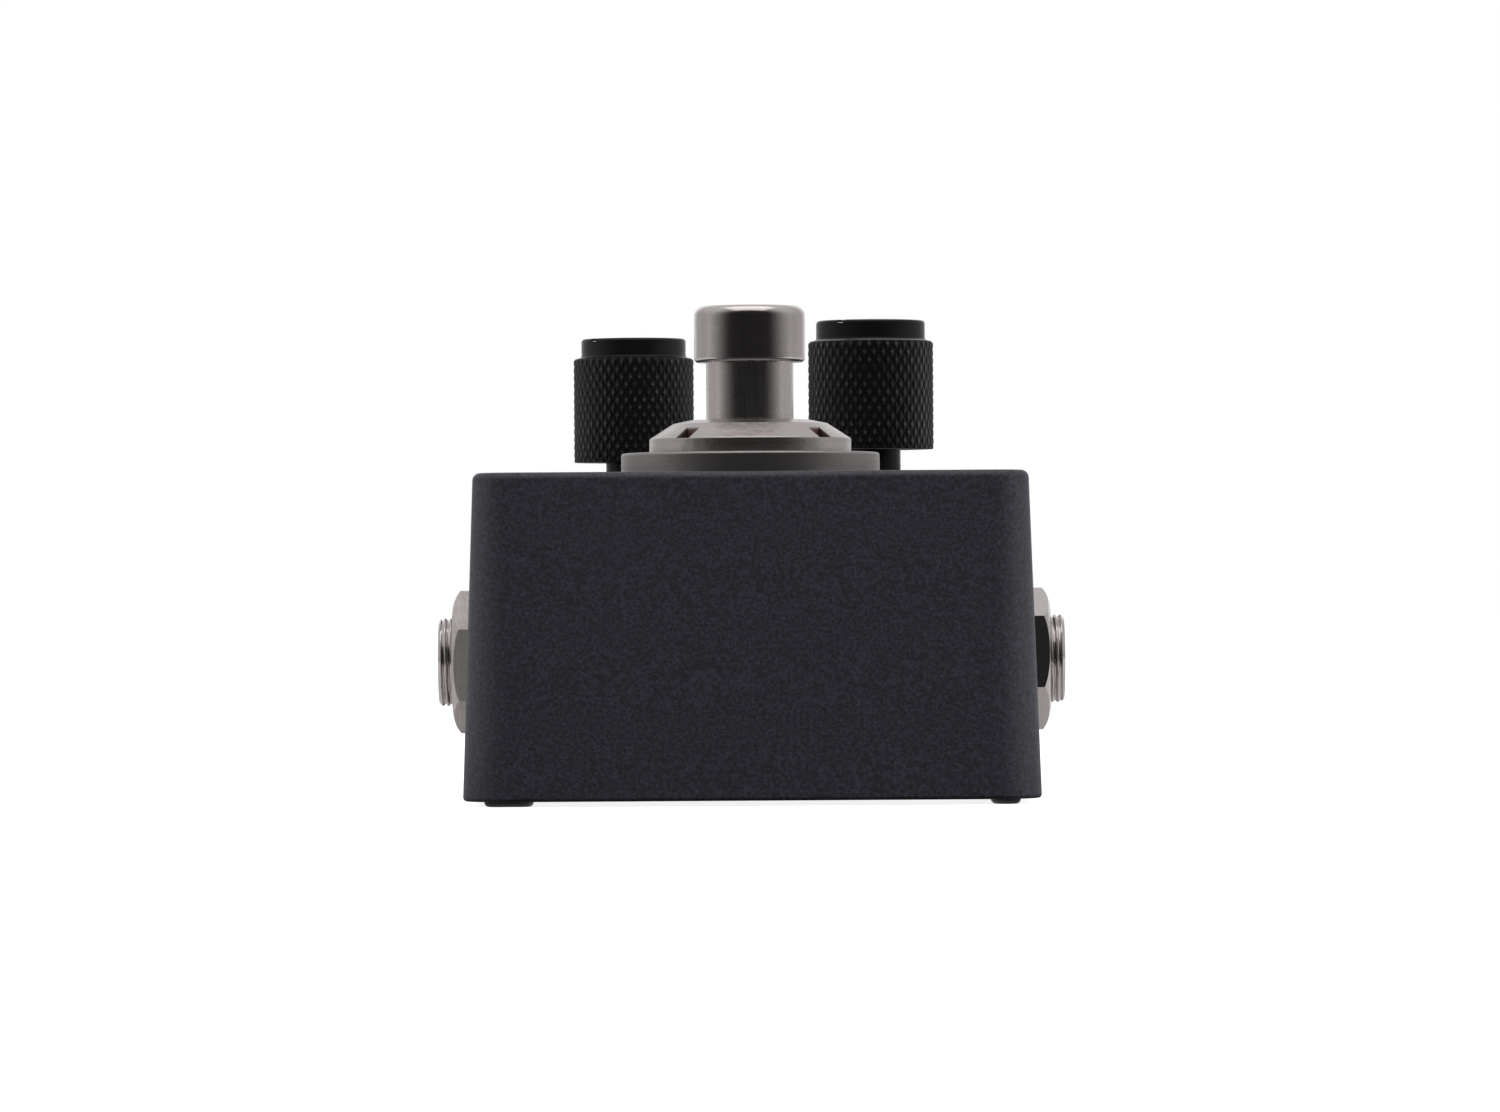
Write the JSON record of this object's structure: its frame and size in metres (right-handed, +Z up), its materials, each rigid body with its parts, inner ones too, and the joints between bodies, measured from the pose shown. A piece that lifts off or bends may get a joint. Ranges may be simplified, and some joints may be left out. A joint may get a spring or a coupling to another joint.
{
  "type": "stompbox volume pedal",
  "caption": "Compact stompbox volume pedal: drafted cast box with a sprung plunger footswitch, knurled knobs, threaded side jacks for instrument plugs and a screwed base plate on rubber feet.",
  "frame": {"origin": "middle of the box on the surface that the feet stand on", "axes": "+X to the player's right (input jack), +Y from the footswitch end to the far end, +Z up"},
  "size_m": [0.0666, 0.11, 0.0511],
  "materials": {
    "powder_coat": "fine-textured dark graphite powder coat on cast aluminium",
    "nickel": "satin nickel plate",
    "black_knob": "black anodised, diamond knurled",
    "black_steel": "black oxide",
    "rubber": "moulded black",
    "black_plastic": "moulded black",
    "brass": "tinned",
    "laminate": "green solder resist on glass-epoxy board",
    "film_capacitor": "dipped red",
    "capacitor_sleeve": "shrunk blue sleeve",
    "lens": "clear red"
  },
  "bodies": {
    "pedal": {"enclosure": "powder_coat", "base_plate": "powder_coat", "base_screw_front_left": "black_steel", "base_screw_front_right": "black_steel", "base_screw_rear_left": "black_steel", "base_screw_rear_right": "black_steel", "rubber_foot_front_left": "rubber", "rubber_foot_front_right": "rubber", "rubber_foot_rear_left": "rubber", "rubber_foot_rear_right": "rubber", "footswitch_housing": "black_plastic", "footswitch_bushing": "nickel", "footswitch_lock_washer": "nickel", "footswitch_inner_nut": "nickel", "footswitch_dress_washer": "nickel", "footswitch_dress_nut": "nickel", "footswitch_terminals": "brass", "switch_ribbon_cable": "black_plastic", "circuit_board": "laminate", "board_screw_front_left": "nickel", "board_screw_front_right": "nickel", "board_screw_rear_left": "nickel", "board_screw_rear_right": "nickel", "amplifier_chip": "black_plastic", "film_capacitor": "film_capacitor", "electrolytic_capacitor_front": "capacitor_sleeve", "electrolytic_capacitor_rear": "capacitor_sleeve", "left_pot_case": "nickel", "right_pot_case": "nickel", "output_jack_housing": "black_plastic", "output_jack_barrel": "nickel", "output_jack_washer": "nickel", "output_jack_nut": "nickel", "output_jack_tip_contact": "brass", "input_jack_housing": "black_plastic", "input_jack_barrel": "nickel", "input_jack_washer": "nickel", "input_jack_nut": "nickel", "input_jack_tip_contact": "brass", "power_socket_housing": "black_plastic", "power_socket_pin": "nickel", "status_light_bezel": "nickel", "status_light_lens": "lens", "status_light_spacer": "black_plastic"},
    "plunger": {"footswitch_plunger": "nickel", "footswitch_return_spring": "nickel"},
    "left_control": {"left_knob": "black_knob", "left_knob_set_screw": "black_steel", "left_pot_shaft": "black_knob"},
    "right_control": {"right_knob": "black_knob", "right_knob_set_screw": "black_steel", "right_pot_shaft": "black_knob"}
  },
  "joints": [
    {"name": "footswitch_press", "type": "slide", "parent": "pedal", "child": "plunger", "axis": [0, 0, -1], "range_m": [0, 0.0045], "stiffness_N_per_m": 3000, "springref_m": -0.0015, "deforming": ["footswitch_return_spring"]},
    {"name": "left_knob_turn", "type": "hinge", "parent": "pedal", "child": "left_control", "pos_m": [-0.0128, 0.018, 0.0359], "axis": [0, 0, -1], "range_deg": [-19, 281]},
    {"name": "right_knob_turn", "type": "hinge", "parent": "pedal", "child": "right_control", "pos_m": [0.0128, -0.0155, 0.03655], "axis": [0, 0, -1], "range_deg": [-5, 295]}
  ]
}
